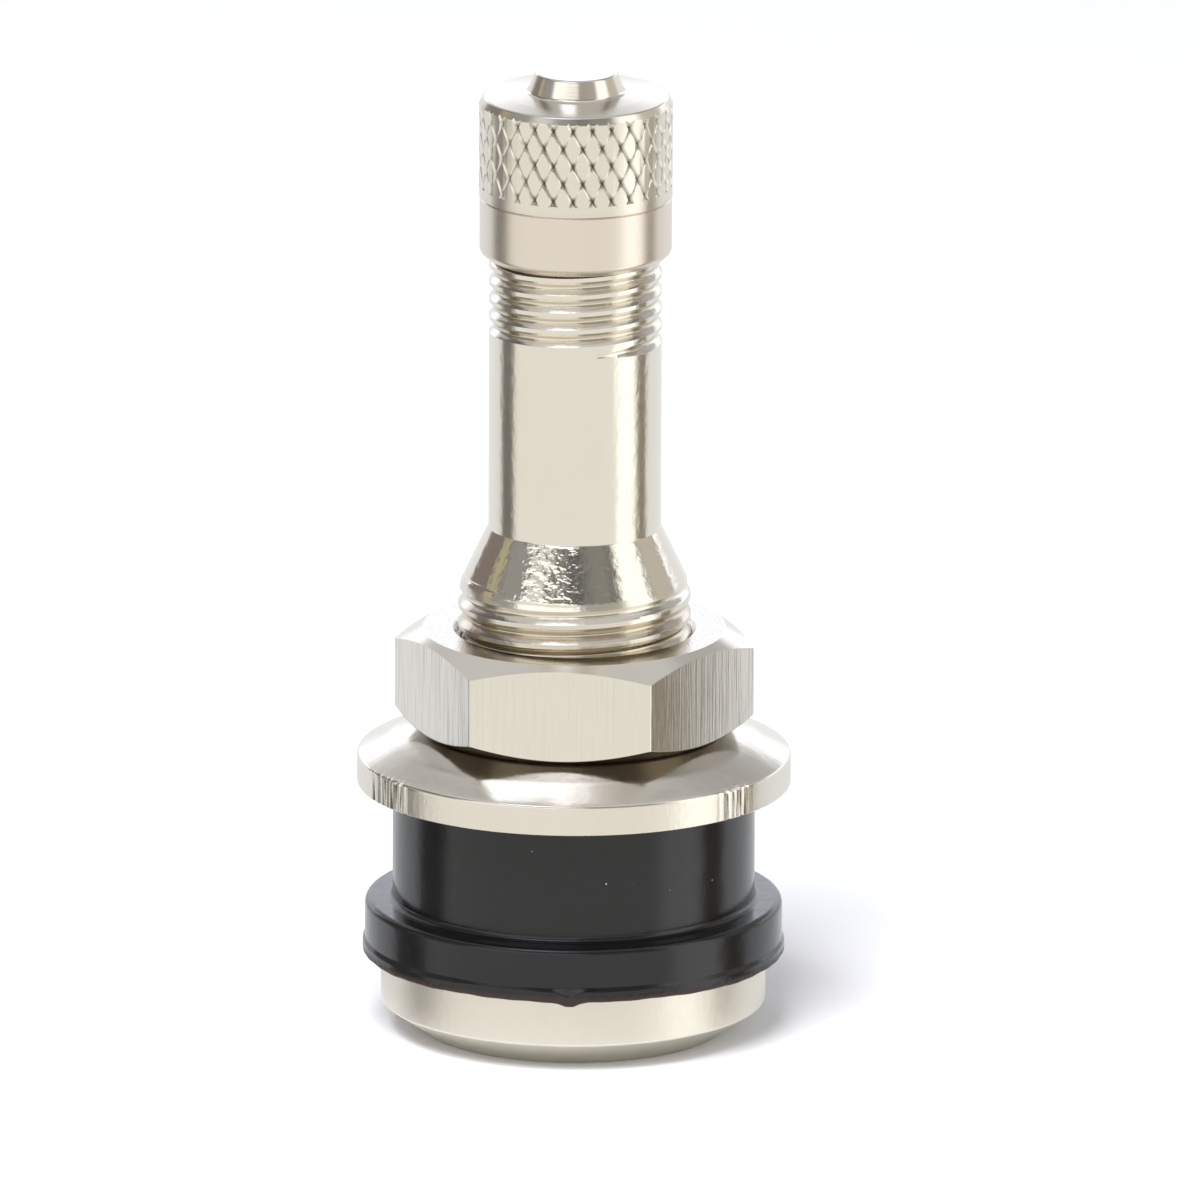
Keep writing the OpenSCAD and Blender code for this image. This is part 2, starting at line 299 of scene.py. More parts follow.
# %% Paint the tent
ALL_ROUND = 400
in_front = panel(-102, 100, -ALL_ROUND, ALL_ROUND)
tent = sky.mix(in_front, rgb(0.93, 0.95, 0.98), rgb(0.98, 0.97, 0.935))
behind = 1 - panel(-152, 152, -ALL_ROUND, ALL_ROUND, 16)
patches = [
    # low down: the bright panel at the right, and the gaps at both sides
    (panel(58, 87, -70, 8, 9), rgb(1.5, 1.52, 1.5)),
    (panel(92, 110, -70, 8, 6), rgb(0.28, 0.24, 0.18)),
    (panel(-116, -90, -70, 8, 8), rgb(0.20, 0.19, 0.18)),
    # the floor, the bright edge of the tent and its duller roof
    (panel(-ALL_ROUND, ALL_ROUND, -120, -50, 3, 20), rgb(0.70, 0.68, 0.64)),
    (panel(-ALL_ROUND, ALL_ROUND, 8, 120), rgb(1.45, 1.5, 1.64)),
    (panel(-ALL_ROUND, ALL_ROUND, 22, 120, 3, 6), rgb(0.70, 0.71, 0.74)),
    (panel(120, 170, 22, 52, 16, 6), rgb(0.52, 0.53, 0.56)),
    # the dark room in front, and what stands in it from left to right
    (panel(-132, 124, 8, 50, 8), rgb(0.15, 0.15, 0.155)),
    (panel(-140, -106, 2, 30, 8), rgb(0.26, 0.22, 0.21)),
    (panel(-106, -94, 6, 34, 4), rgb(0.52, 0.49, 0.33)),
    (panel(-92, -66, 8, 40, 8), rgb(0.36, 0.36, 0.36)),
    (panel(-62, -30, 29, 46, 12, 4), rgb(0.82, 0.82, 0.82)),
    (panel(-30, -8, 29, 46, 14, 4), rgb(0.29, 0.28, 0.27)),
    (panel(16, 46, 29, 46, 20, 4), rgb(0.28, 0.28, 0.26)),
    # pale sheets at the table's edge, and the panel at the right going on upwards
    (panel(-62, 8, 4, 29, 10, 4), rgb(1.0, 0.99, 0.95)),
    (panel(8, 50, 4, 29, 10, 4), rgb(0.5, 0.48, 0.44)),
    (panel(54, 89, 6, 46, 12), rgb(1.5, 1.5, 1.47)),
    (panel(92, 122, 6, 40, 6), rgb(0.62, 0.58, 0.53)),
    (panel(-62, 4, 13, 28, 10, 3), rgb(1.5, 1.5, 1.47)),
    # high up: a bright window in front, and a dark strip behind
    (panel(-60, -2, 53, 72, 18, 5), rgb(2.2, 2.35, 2.9)),
    (panel(-ALL_ROUND, ALL_ROUND, 33, 66, 3, 16) * behind, rgb(0.38, 0.375, 0.365)),
]
for mask, light in patches:
    tent = sky.mix(mask, tent, light)
seen = sky.node("ShaderNodeLightPath", output="Is Camera Ray")
tent = sky.mix(seen, tent, rgb(1.0, 1.0, 1.0))
glow = sky.node("ShaderNodeBackground", {}, {"Color": tent, "Strength": 1.0})
sky.node("ShaderNodeOutputWorld", {}, {"Surface": glow})
print("tent painted with", len(patches), "patches")

# %% [markdown]
# The key lamp stands at the front, a little to the left, and throws the soft shadow behind the foot. It
# is left out of the reflections, because the tent already holds what the metal shows. The table is a wide
# white sheet. It is left out of the reflections too, so that the metal sees the tent below it. Only a
# small disc of it under the head stays in them: there the bevel of the head shows its own shadow.

# %% Key lamp
key = bpy.data.lights.new("key_lamp", "AREA")
key.shape = "RECTANGLE"
key.size = 0.22
key.size_y = 0.22
key.energy = 2.1
key_lamp = bpy.data.objects.new("key_lamp", key)
bpy.context.scene.collection.objects.link(key_lamp)
key_lamp.location = (-0.085, -0.25, 0.40)
key_lamp.rotation_euler = (-key_lamp.location).to_track_quat("-Z", "Y").to_euler()
key_lamp.visible_glossy = False
print(f"key lamp {key_lamp.location.length:.2f} m away")


# %% Table
def sheet_of(name, radius, level):
    """A round white sheet on the table."""
    bpy.ops.object.select_all(action="DESELECT")
    bpy.ops.mesh.primitive_circle_add(vertices=96, radius=radius, fill_type="NGON",
                                      location=(0, 0, level))
    sheet = bpy.context.active_object
    sheet.name = name
    return sheet


table = sheet_of("table", 2.2, 0)
table.visible_glossy = False
contact_sheet = sheet_of("contact_sheet", 12 * MM, 0.005 * MM)
contact_sheet.visible_camera = False
contact_sheet.visible_diffuse = False
contact_sheet.visible_shadow = False
print(f"table {table.dimensions.x:.1f} m across")

# %% White table finish
paper = bpy.data.materials.new("white_table")
paper.use_nodes = True
paper_bench = Bench(paper.node_tree)
grain = paper_bench.node("ShaderNodeTexNoise", {}, {"Scale": 900.0, "Detail": 3.0})
tone = paper_bench.mix(grain, rgb(0.92, 0.92, 0.945), rgb(0.94, 0.94, 0.965))
matt = paper_bench.node("ShaderNodeBsdfPrincipled", {}, {"Base Color": tone, "Roughness": 0.9})
paper_bench.node("ShaderNodeOutputMaterial", {}, {"Surface": matt})
for sheet in (table, contact_sheet):
    sheet.data.materials.append(paper)
print("white table finish on both sheets")

# %% [markdown]
# ## Tools for turned pieces
# Almost every piece of a valve is turned on a lathe: a cutter follows an outline while the metal spins.
# The same is done here. One vertex is extruded from corner to corner of the half section, and the line is
# spun round the stem's axis. Corners with a rounding become arcs, because a real edge is never perfectly
# sharp and it is the rounded edge that catches the light. Pieces are drawn in millimetres and scaled down
# at the end.

# %% Pick a piece up or start a new one
def let_go():
    """Leaves edit mode and deselects everything."""
    if bpy.context.mode != "OBJECT":
        bpy.ops.object.mode_set(mode="OBJECT")
    bpy.ops.object.select_all(action="DESELECT")


def pick(piece):
    """Deselects everything and makes one piece the active one."""
    let_go()
    bpy.context.view_layer.objects.active = piece
    piece.select_set(True)


def fresh(name, add, **options):
    """Deselects everything, adds a primitive and opens it in edit mode with all of it selected."""
    let_go()
    add(**options)
    piece = bpy.context.active_object
    piece.name = name
    bpy.ops.object.mode_set(mode="EDIT")
    bpy.ops.mesh.select_all(action="SELECT")
    return piece


print("pieces can be picked up")

# %% Draw an outline
ARC_STEPS = 4
WELD = 0.0004


def rounded(outline):
    """The points of an outline whose corners are (radius, height) or (radius, height, rounding)."""
    points = []
    for i, (radius, level, *rounding) in enumerate(outline):
        corner = Vector((radius, level))
        if not rounding:
            points.append(corner)
            continue
        back = (Vector(outline[i - 1][:2]) - corner).normalized()
        ahead = (Vector(outline[(i + 1) % len(outline)][:2]) - corner).normalized()
        half = back.angle(ahead) / 2
        centre = corner + (back + ahead).normalized() * (rounding[0] / math.sin(half))
        first = corner + back * (rounding[0] / math.tan(half)) - centre
        last = corner + ahead * (rounding[0] / math.tan(half)) - centre
        for step in range(ARC_STEPS + 1):
            spoke = first.slerp(last, step / ARC_STEPS).normalized()
            points.append(centre + spoke * rounding[0])
    return points


def draw(name, outline, closed=True):
    """Draws an outline in the XZ plane by extruding one vertex from point to point."""
    points = [Vector((point.x, 0, point.y)) for point in rounded(outline)]
    if closed:
        points.append(points[0])
    piece = fresh(name, bpy.ops.mesh.primitive_plane_add, size=1)
    bpy.ops.mesh.merge(type="CENTER")
    bpy.ops.transform.translate(value=points[0])
    for here, there in zip(points, points[1:]):
        bpy.ops.mesh.extrude_region_move(TRANSFORM_OT_translate={"value": there - here})
    bpy.ops.mesh.select_all(action="SELECT")
    bpy.ops.mesh.remove_doubles(threshold=WELD)
    return piece


print("roundings are drawn in", ARC_STEPS, "steps")

# %% Spin and weld
SIDES = 96


def weld():
    """Merges doubles in the piece that is open, turns its faces outwards and closes edit mode."""
    bpy.ops.mesh.select_all(action="SELECT")
    bpy.ops.mesh.remove_doubles(threshold=WELD)
    bpy.ops.mesh.normals_make_consistent(inside=False)
    bpy.ops.object.mode_set(mode="OBJECT")


def turned(name, outline, sides=SIDES, closed=True):
    """Spins a half section round the stem's axis."""
    piece = draw(name, outline, closed)
    bpy.ops.mesh.spin(steps=sides, angle=math.tau, center=(0, 0, 0), axis=(0, 0, 1))
    weld()
    return piece


print("lathe ready,", SIDES, "sides")


# %% Modifiers, cuts and shading
def apply(piece, kind, **settings):
    """Adds a modifier to a piece and applies it at once."""
    pick(piece)
    change = piece.modifiers.new(kind.lower(), kind)
    for name, value in settings.items():
        setattr(change, name, value)
    bpy.ops.object.modifier_apply(modifier=change.name)


def cut(piece, tool, operation="DIFFERENCE"):
    """Takes a tool away from a piece, or joins or crosses the two, and puts the tool away."""
    apply(piece, "BOOLEAN", object=tool, operation=operation, solver="MANIFOLD")
    bpy.data.objects.remove(tool)


def shade(piece, angle=32):
    """Welds what cuts left, then shades smoothly up to an angle and keeps long faces straight."""
    pick(piece)
    bpy.ops.object.mode_set(mode="EDIT")
    weld()
    bpy.ops.object.shade_smooth_by_angle(angle=math.radians(angle))
    apply(piece, "WEIGHTED_NORMAL", keep_sharp=True, weight=50)


print("cuts and shading ready")

# %% [markdown]
# ## A tool for threads
# A thread is a groove that climbs by one pitch in each turn. Drawing it on the outline would give rings
# and no helix. So the lathe's way is taken again: the section of one groove is swept along the helix by a
# Screw modifier, and a Boolean takes that tool out of the turned piece. The section is a wave, because
# plating rounds the crests of a thread. Near its lower end the tool is drawn out of the metal, so that
# the groove runs out in a fine tail, as it does on the stem.

# %% Sweep along a helix
def sweep(piece, pitch, turns, steps):
    """Sweeps a drawn section round the stem's axis, so that it climbs by one pitch in each turn."""
    apply(piece, "SCREW", axis="Z", angle=math.tau, screw_offset=pitch, iterations=turns,
          steps=steps, render_steps=steps, use_merge_vertices=False)


def close_ends():
    """Opens the active piece in edit mode and fills the ends of its sweep."""
    bpy.ops.object.mode_set(mode="EDIT")
    bpy.ops.mesh.select_all(action="DESELECT")
    bpy.ops.mesh.select_non_manifold()
    bpy.ops.mesh.fill_holes(sides=0)


print("sweeps ready")

# %% Groove tool
THREAD_LAND = 0.12
WAVE_STEPS = 8
WAVE_END = 0.9
TOOL_FLARE = 1.1
TOOL_REACH = 2.2
FADE_OUT = 1.05


def groove_tool(name, crest_r, depth, pitch, land, start, turns, tail=0.0, reach=None):
    """A helical cutter. Its start is an angle and a height. Its tail is the part of a turn it fades in."""
    half = (pitch - land) / 2
    shares = [-WAVE_END + 2 * WAVE_END * step / WAVE_STEPS for step in range(WAVE_STEPS + 1)]
    wave = [(crest_r - depth * (0.5 + 0.5 * math.cos(math.pi * share)), half * share) for share in shares]
    reach = reach or TOOL_REACH * depth
    outline = [(crest_r + reach, -half * TOOL_FLARE), *wave, (crest_r + reach, half * TOOL_FLARE)]
    tool = draw(name, outline)
    corners = len(outline)
    sweep(tool, pitch, turns, SIDES)
    fade = SIDES * tail
    for vertex in tool.data.vertices:
        step = vertex.index // corners
        if step < fade:
            out = depth * FADE_OUT * (1 - step / fade)
            vertex.co.xy *= 1 + out / vertex.co.xy.length
    close_ends()
    angle, level = start
    bpy.ops.mesh.select_all(action="SELECT")
    bpy.ops.transform.rotate(value=-math.radians(angle), orient_axis="Z", center_override=(0, 0, 0))
    bpy.ops.transform.translate(value=(0, 0, level))
    weld()
    return tool


print("grooves are", WAVE_STEPS, "steps wide")

# %% [markdown]
# The thread inside the nut and the cap is the same wave, laid into the bore as a ridge. It is a little
# smaller than the groove, so that it runs in it with some play, and a turned sleeve cuts its ends to a
# slope.

# %% Thread in a bore
THREAD_PLAY = 0.06
RIDGE_ROOT = 0.15
RIDGE_HOLD = 0.1


def thread_inside(piece, crest_r, depth, pitch, start, turns, low, high):
    """Lays a ridge into a bore, between two heights, that runs in a groove of the stem."""
    land = THREAD_LAND + 2 * THREAD_PLAY
    ridge = groove_tool("ridge", crest_r, depth - THREAD_PLAY, pitch, land, start, turns, reach=RIDGE_ROOT)
    sleeve = turned("ridge_limits", [
        (crest_r - depth, low + depth),
        (crest_r + RIDGE_HOLD, low),
        (crest_r + RIDGE_HOLD, high),
        (crest_r - depth, high - depth),
    ])
    cut(ridge, sleeve, "INTERSECT")
    cut(piece, ridge, "UNION")


print("ridges have", THREAD_PLAY, "mm of play")

# %% [markdown]
# ## The stem
# The stem is one turned piece: the head that stays in the tyre, the threaded shank, a taper, the plain
# stem and the neck with the cap thread. A boring bar has made the airway inside. Its outline is spun
# first, and the two threads are then cut into it.

# %% Stem outline
passage_r, foot_r = radii_at("valve_stem", 0)[0], radii_at("valve_stem", 0)[-1]
bevel_z = heights_at("valve_stem", head_r)[0]
core_r = radii_at("valve_stem", heights_at("valve_stem", stem_r)[-1])[0]
bore_foot_z = heights_at("valve_stem", core_r)[0]
chamber_r = radii_at("core_barrel", span("core_barrel")[0])[-1] + 0.2
chamber_z, taper_z = heights_at("valve_stem", chamber_r)
passage_z = heights_at("valve_stem", passage_r)[-1]
edge = 0.2
shoulder_round = 2.4

stem = turned("stem", [
    (foot_r, 0, 0.25),
    (head_r, bevel_z, 0.12),
    (head_r, head_z, edge),
    (shank_r, head_z),
    (shank_r, shoulder_z, shoulder_round),
    (stem_r, stem_z, 0.12),
    (stem_r, mouth_z, edge),
    (core_r, mouth_z, 0.15),
    (core_r, bore_foot_z),
    (chamber_r, taper_z),
    (chamber_r, chamber_z),
    (passage_r, passage_z),
    (passage_r, 0, 0.15),
])
print("stem outline spun:", len(stem.data.polygons), "faces")

# %% Stem threads
THREAD_DEPTH = 0.36
neck_thread = {
    "depth": cap_pitch * THREAD_DEPTH,
    "pitch": cap_pitch,
    "start": (-82.5, runout_z - 0.67),
    "turns": 12,
}
shank_thread = {
    "depth": clamp_pitch * THREAD_DEPTH,
    "pitch": clamp_pitch,
    "start": (-30, sleeve_top_z - 1.2),
    "turns": 11,
}
cut(stem, groove_tool("neck_tool", stem_r, land=THREAD_LAND, tail=0.12, **neck_thread))
cut(stem, groove_tool("shank_tool", shank_r, land=THREAD_LAND, tail=0.2, **shank_thread))
shade(stem, 50)
print("threads cut:", len(stem.data.polygons), "faces")

# %% [markdown]
# ## The rubber seal
# The seal is moulded in one shot: a flange that lies against the inside of the rim and a sleeve that
# fills the valve hole. The halves of the mould leave a thin lip round the foot of the flange, which is
# never quite even, and a small burr where the rubber was torn off. The outline is spun with more sides
# than the metal needs, and the lip's vertices are then moved by a sum of waves. A noise would do as well,
# but waves close round the ring.

# %% Seal outline
seal_round = 0.25
lip_slope_h = 0.12
seat_drop = 0.2
seal_bore_r = radii_at("grommet_flange", head_z)[0]
flange_r = sorted({radius for radius, _ in rings("grommet_flange")})[-2]
lip_top_z = heights_at("grommet_flange", lip_r)[-1]
flange_z = span("grommet_flange")[1] - seal_round
seat_r = radii_at("grommet_sleeve", sleeve_top_z)[-1]

seal = turned("rubber_seal", [
    (seal_bore_r, head_z),
    (lip_r, head_z, 0.1),
    (lip_r, lip_top_z, 0.12),
    (flange_r, lip_top_z + lip_slope_h, 0.08),
    (flange_r, flange_z, 0.3),
    (sleeve_r, flange_z, seal_round),
    (sleeve_r, washer_edge_z + seat_drop, 0.15),
    (seat_r, sleeve_top_z),
    (seal_bore_r, sleeve_top_z),
], sides=180)
print("seal spun:", len(seal.data.polygons), "faces")

# %% Uneven lip and burr
lip_reach = 0.6
lip_drop = 0.035
lip_shrink = 0.012
burr_bearing = math.radians(-91)
burr_reach = math.radians(2.6)
burr_drop = 0.2
for vertex in seal.data.vertices:
    radius = vertex.co.xy.length
    if radius < flange_r - lip_reach or vertex.co.z > lip_top_z + 0.05:
        continue
    turn = math.atan2(vertex.co.y, vertex.co.x)
    wave = 0.5 * math.sin(7 * turn + 0.4) + 0.3 * math.sin(19 * turn + 1.3) + 0.25 * math.sin(43 * turn)
    low = min(1.0, max(0.0, (radius - flange_r + lip_reach) / lip_reach))
    burr = math.exp(-((turn - burr_bearing) / burr_reach) ** 2)
    vertex.co.z -= low * (lip_drop * (1 + wave) + burr_drop * burr)
    vertex.co.xy *= 1 + low * lip_shrink * (wave - 1.1) / radius
shade(seal, 40)
print("burr hangs", burr_drop, "mm below the lip")

# %% [markdown]
# ## The washer
# The washer is punched from sheet and dished in a press. Punching rounds the upper edge and tears the
# side, so the top edge has a wide rounding and the lower one hardly any. Its slope bulges a little, as
# pressed sheet does, and that bulge gathers the light in a crescent. In two places the press has torn the
# side into upright ribs: there the vertices are pushed in by a noise that runs round the rim, which needs
# many sides.

# %% Washer outline
hole_r, flat_r = radii_at("washer", nut_z)[0], radii_at("washer", nut_z)[-1]
under_z = heights_at("washer", hole_r)[0]
rim_top_z = max(z for radius, z in rings("washer") if radius > washer_r - 0.25)
bulge = 0.1
rim_top = Vector((washer_r, rim_top_z))
slope_middle = Vector(((flat_r + washer_r) / 2, (nut_z + rim_top_z) / 2 + bulge))

washer = turned("dished_washer", [
    (hole_r, under_z, 0.12),
    (flat_r, under_z, 0.6),
    (washer_r, washer_edge_z, 0.05),
    (washer_r, rim_top_z, 0.16),
    rim_top.lerp(slope_middle, 0.2),
    (*slope_middle, 3.0),
    (flat_r, nut_z, 0.9),
    (hole_r, nut_z, 0.2),
], sides=720)
print(f"washer bulges {bulge} mm, {len(washer.data.polygons)} faces")

# %% Torn side of the washer
torn_places = {-59: 11, 49: 8}
torn_depth = 0.3
rib_rate = Vector((0.8, 0.7))
side_depth = 0.1
deepest = 0.0
for vertex in washer.data.vertices:
    radius = vertex.co.xy.length
    if radius < washer_r - side_depth:
        continue
    place_round = math.degrees(math.atan2(vertex.co.x, -vertex.co.y))
    torn = 0.0
    for middle, reach in torn_places.items():
        torn += max(0.0, 1 - ((place_round - middle) / reach) ** 2)
    rib = max(0.0, noise.noise(Vector((place_round * rib_rate.x, vertex.co.z * rib_rate.y, 0))))
    vertex.co.xy *= 1 - torn * rib * torn_depth / radius
    deepest = max(deepest, torn * rib * torn_depth)
shade(washer, 40)
print(f"the washer's side is torn {deepest:.2f} mm deep")

# %% [markdown]
# ## The nut
# A hexagon nut is a bar of hexagon steel or brass with both ends turned to a cone. That is why its faces
# end in curves. The same two steps are used: a six-sided bar is crossed with a turned barrel that has the
# bore. The faces of drawn bar are never quite flat, so they bulge a little, and the light changes along
# each of them. The thread inside is a ridge that fits the groove of the shank. The six corners are
# bevelled while the bar is still whole, because the curved edges of the cones have points too close
# together for a bevel.

# %% Nut sizes
nut_node = frame["nodes"]["hex_nut"].data.vertices
corner = max(nut_node, key=lambda vertex: vertex.co.xy.length).co
corner_r = corner.xy.length / MM
corner_turn = math.atan2(corner.y, corner.x)
nut_bore_r = min(radius for radius, _ in rings("hex_nut"))
nut_seat_r = radii_at("hex_nut", nut_z)[-1]
nut_cone_z = heights_at("hex_nut", corner_r)[0]
cone_h = nut_cone_z - nut_z
print(f"nut {corner_r * math.sqrt(3):.2f} mm across its flats, with cones {cone_h:.2f} mm high")

# %% Hexagon bar
face_steps = 8
face_bulge = 0.14
corner_bevel = 0.1
hair = 0.001
sixth = math.tau / 6
nut = fresh("clamp_nut", bpy.ops.mesh.primitive_cylinder_add,
            vertices=6 * face_steps, radius=corner_r, depth=nut_top_z - nut_z)
first_turn = math.atan2(nut.data.vertices[0].co.y, nut.data.vertices[0].co.x)
bpy.ops.transform.rotate(value=first_turn - corner_turn, orient_axis="Z", center_override=(0, 0, 0))
bpy.ops.transform.translate(value=(0, 0, (nut_z + nut_top_z) / 2))
bar = bmesh.from_edit_mesh(nut.data)
for vertex in bar.verts:
    off = (math.atan2(vertex.co.y, vertex.co.x) - corner_turn + hair) % sixth - sixth / 2 - hair
    flat = corner_r * math.cos(sixth / 2) / math.cos(off)
    aside = (math.tan(off) / math.tan(sixth / 2)) ** 2
    bulged = flat + face_bulge * (1 - 0.6 * aside - 0.4 * aside ** 2)
    vertex.co.xy *= bulged / vertex.co.xy.length
    vertex.select_set(bulged > corner_r - 0.01)
bar.select_flush(False)
bmesh.update_edit_mesh(nut.data)
bpy.ops.mesh.bevel(offset=corner_bevel, segments=3, affect="EDGES")
weld()
print("bar of", len(nut.data.polygons), "faces, bulged by", face_bulge, "mm")

# %% Turn and thread the nut
bore_edge = 0.2
spare = 0.3
past = 0.01
spare_h = spare * cone_h / (corner_r - nut_seat_r)
barrel = turned("nut_barrel", [
    (nut_bore_r + bore_edge, nut_z - past),
    (nut_seat_r, nut_z - past),
    (corner_r + spare, nut_cone_z + spare_h),
    (corner_r + spare, nut_top_z - cone_h - spare_h),
    (nut_seat_r, nut_top_z + past),
    (nut_bore_r + bore_edge, nut_top_z + past),
    (nut_bore_r, nut_top_z - bore_edge),
    (nut_bore_r, nut_z + bore_edge),
], sides=144)
cut(nut, barrel, "INTERSECT")
thread_inside(nut, shank_r, low=nut_z + 0.3, high=nut_top_z - 0.3, **shank_thread)
shade(nut, 22)
print("nut turned and threaded:", len(nut.data.polygons), "faces")

# %% [markdown]
# ## The cap
# The cap is turned from bar, and its grip is knurled: two wheels press crossing grooves into it and leave
# diamonds. Real grooves and pits are needed here, because they show on the outline and at the bevel. One
# diamond of a cutter is modelled, an inset face with its edges pushed in and its corners pushed in
# further. Two Array modifiers repeat it, it is wrapped round the cap, and a Boolean takes it away.

# %% Cap outline
cap_radii = sorted({radius for radius, _ in rings("cap")})
bore_r, land_r, roof_r, skirt_r = cap_radii[-5:-1]
roof_z = heights_at("cap", roof_r)[0]
skirt_foot_z, grip_foot_z = heights_at("cap", skirt_r)
grip_top_z = heights_at("cap", grip_r)[-1]
gasket_z, gasket_top_z, gasket_r = span("cap_gasket")
button_foot_r = radii_at("cap", roof_z)[0]
button_r = radii_at("cap", button_z)[-1]
line_w = 0.05
dome = 0.2
roof_middle = Vector(((roof_r + button_foot_r) / 2, roof_z + 0.52 * dome))
button_lean = 0.07

cap = turned("screw_cap", [
    (0, gasket_top_z),
    (bore_r, gasket_top_z),
    (bore_r, cap_z, 0.02),
    (land_r, cap_z),
    (skirt_r, skirt_foot_z, 0.3),
    (skirt_r, grip_foot_z - line_w),
    (skirt_r - line_w, grip_foot_z),
    (grip_r, grip_foot_z + line_w),
    (grip_r, grip_top_z, 0.12),
    (roof_r, roof_z, 0.12),
    (*roof_middle, 8.0),
    (button_foot_r - button_lean, roof_z + dome, 0.22),
    (button_r + 0.08, button_z, 0.12),
    (0, button_z),
], closed=False)
thread_inside(cap, stem_r, low=cap_z + 0.3, high=gasket_z - 0.2, **neck_thread)
print("cap spun and threaded:", len(cap.data.polygons), "faces")

# %% Knurl sizes
STARTS = 30
knurl_foot_z = grip_foot_z + 0.53
first_pit = Vector((-0.13, grip_foot_z + 0.76))
cell = Vector((math.tau * grip_r / STARTS, 1.61))
cell_side = cell.length / 2
rows = 9
groove_w = 0.13
line_depth = 0.055
pit_depth = 0.15
pit_reach = 0.45
slighter = 0.55
proud = 0.03
over_roof = 0.3
tool_wall = 1.2
seam = 0.002
print(f"diamonds {cell.x:.2f} by {cell.y:.2f} mm")

# %% One diamond of the cutter
knurl = fresh("knurling_tool", bpy.ops.mesh.primitive_circle_add, vertices=4, radius=1, fill_type="NGON")
bpy.ops.transform.resize(value=(cell.x / 2, cell.y / 2, 1))
bpy.ops.mesh.subdivide(number_cuts=3)
bpy.ops.mesh.inset(thickness=groove_w)
bpy.ops.transform.translate(value=(0, 0, -proud))
shape = bmesh.from_edit_mesh(knurl.data)
for vertex in shape.verts:
    across = abs(vertex.co.x) / cell.x * 2 + abs(vertex.co.y) / cell.y * 2
    if across > 0.99:
        x, y = abs(vertex.co.x), abs(vertex.co.y)
        from_corner = min(math.hypot(x - cell.x / 2, y), math.hypot(x, y - cell.y / 2)) / cell_side
        pit = max(0.0, 1 - from_corner / pit_reach) ** 2
        line = line_depth if vertex.co.x * vertex.co.y > 0 else line_depth * slighter
        vertex.co.z = line + (pit_depth - line) * pit
bmesh.update_edit_mesh(knurl.data)
bpy.ops.mesh.select_all(action="SELECT")
bpy.ops.transform.translate(value=(first_pit.x + cell.x / 2, first_pit.y - cell.y, 0))
bpy.ops.object.mode_set(mode="OBJECT")
print("one diamond:", len(knurl.data.polygons), "faces")

# %% Repeat the diamond and trim the sheet
for count, step in ((STARTS, (cell.x, 0, 0)), (rows, (cell.x / 2, cell.y / 2, 0))):
    apply(knurl, "ARRAY", count=count, use_relative_offset=False, use_constant_offset=True,
          constant_offset_displace=step)
bpy.ops.object.mode_set(mode="EDIT")
for level, outside in ((knurl_foot_z, "clear_inner"), (roof_z + over_roof, "clear_outer")):
    bpy.ops.mesh.select_all(action="SELECT")
    bpy.ops.mesh.bisect(plane_co=(0, level, 0), plane_no=(0, 1, 0), **{outside: True})
bpy.ops.object.mode_set(mode="OBJECT")
print("sheet of diamonds:", len(knurl.data.polygons), "faces")

# %% Wrap it round the cap and close it
for vertex in knurl.data.vertices:
    along, level, depth = vertex.co
    turn = along / grip_r - math.pi / 2
    vertex.co = ((grip_r - depth) * math.cos(turn), (grip_r - depth) * math.sin(turn), level)
bpy.ops.object.mode_set(mode="EDIT")
bpy.ops.mesh.select_all(action="SELECT")
bpy.ops.mesh.remove_doubles(threshold=seam)
bpy.ops.mesh.select_all(action="DESELECT")
bpy.ops.mesh.select_non_manifold()
bpy.ops.mesh.extrude_edges_move()
bpy.ops.transform.resize(value=(tool_wall, tool_wall, 1), center_override=(0, 0, 0))
bpy.ops.mesh.bridge_edge_loops()
weld()
print("knurling tool:", len(knurl.data.polygons), "faces")

# %% Knurl the cap
cut(cap, knurl)
shade(cap, 30)
print("cap knurled:", len(cap.data.polygons), "faces")

# %% [markdown]
# ## The gasket in the cap
# A rubber disc under the cap's roof presses on the mouth of the stem. Its middle is dished, because only
# the ring that meets the mouth is squeezed flat.

# %% Cap gasket
dish_r = 2.3
dish_h = 0.16
slack = 0.01
gasket = turned("cap_gasket_disc", [
    (0, gasket_z + dish_h),
    (dish_r, gasket_z + dish_h, 0.1),
    (dish_r + 0.2, gasket_z, 0.06),
    (gasket_r, gasket_z, 0.12),
    (gasket_r, gasket_top_z - slack, 0.08),
    (0, gasket_top_z - slack),
], closed=False)
shade(gasket)
print(f"gasket {gasket_top_z - gasket_z:.2f} mm thick")

# %% [markdown]
# ## The valve core
# The core screws into the mouth as one unit. Its plug has a thread and two flats that a key turns, with a
# hole that guides the pin. The plug holds a barrel down on its packing ring. Inside the barrel a spring
# pushes the pin up, so that a rubber seat in a cup at its foot closes the barrel. The plug is turned,
# threaded with the same tool as the stem, and joined to a bridge cut from a block.

# %% Core plug
plug_z, bridge_z, _ = span("core_plug")
plug_radii = radii_at("core_plug", plug_z)
plug_bore_r, plug_r = plug_radii[0], plug_radii[-1]
pin_hole_r = radii_at("core_plug", bridge_z)[0]
bridge_r = radii_at("core_plug", bridge_z)[-1]
plug_top_z = max(z for radius, z in rings("core_plug") if z < bridge_z - 0.1)
bridge_foot_z = heights_at("core_plug", pin_hole_r)[0]
core_pitch = 0.7

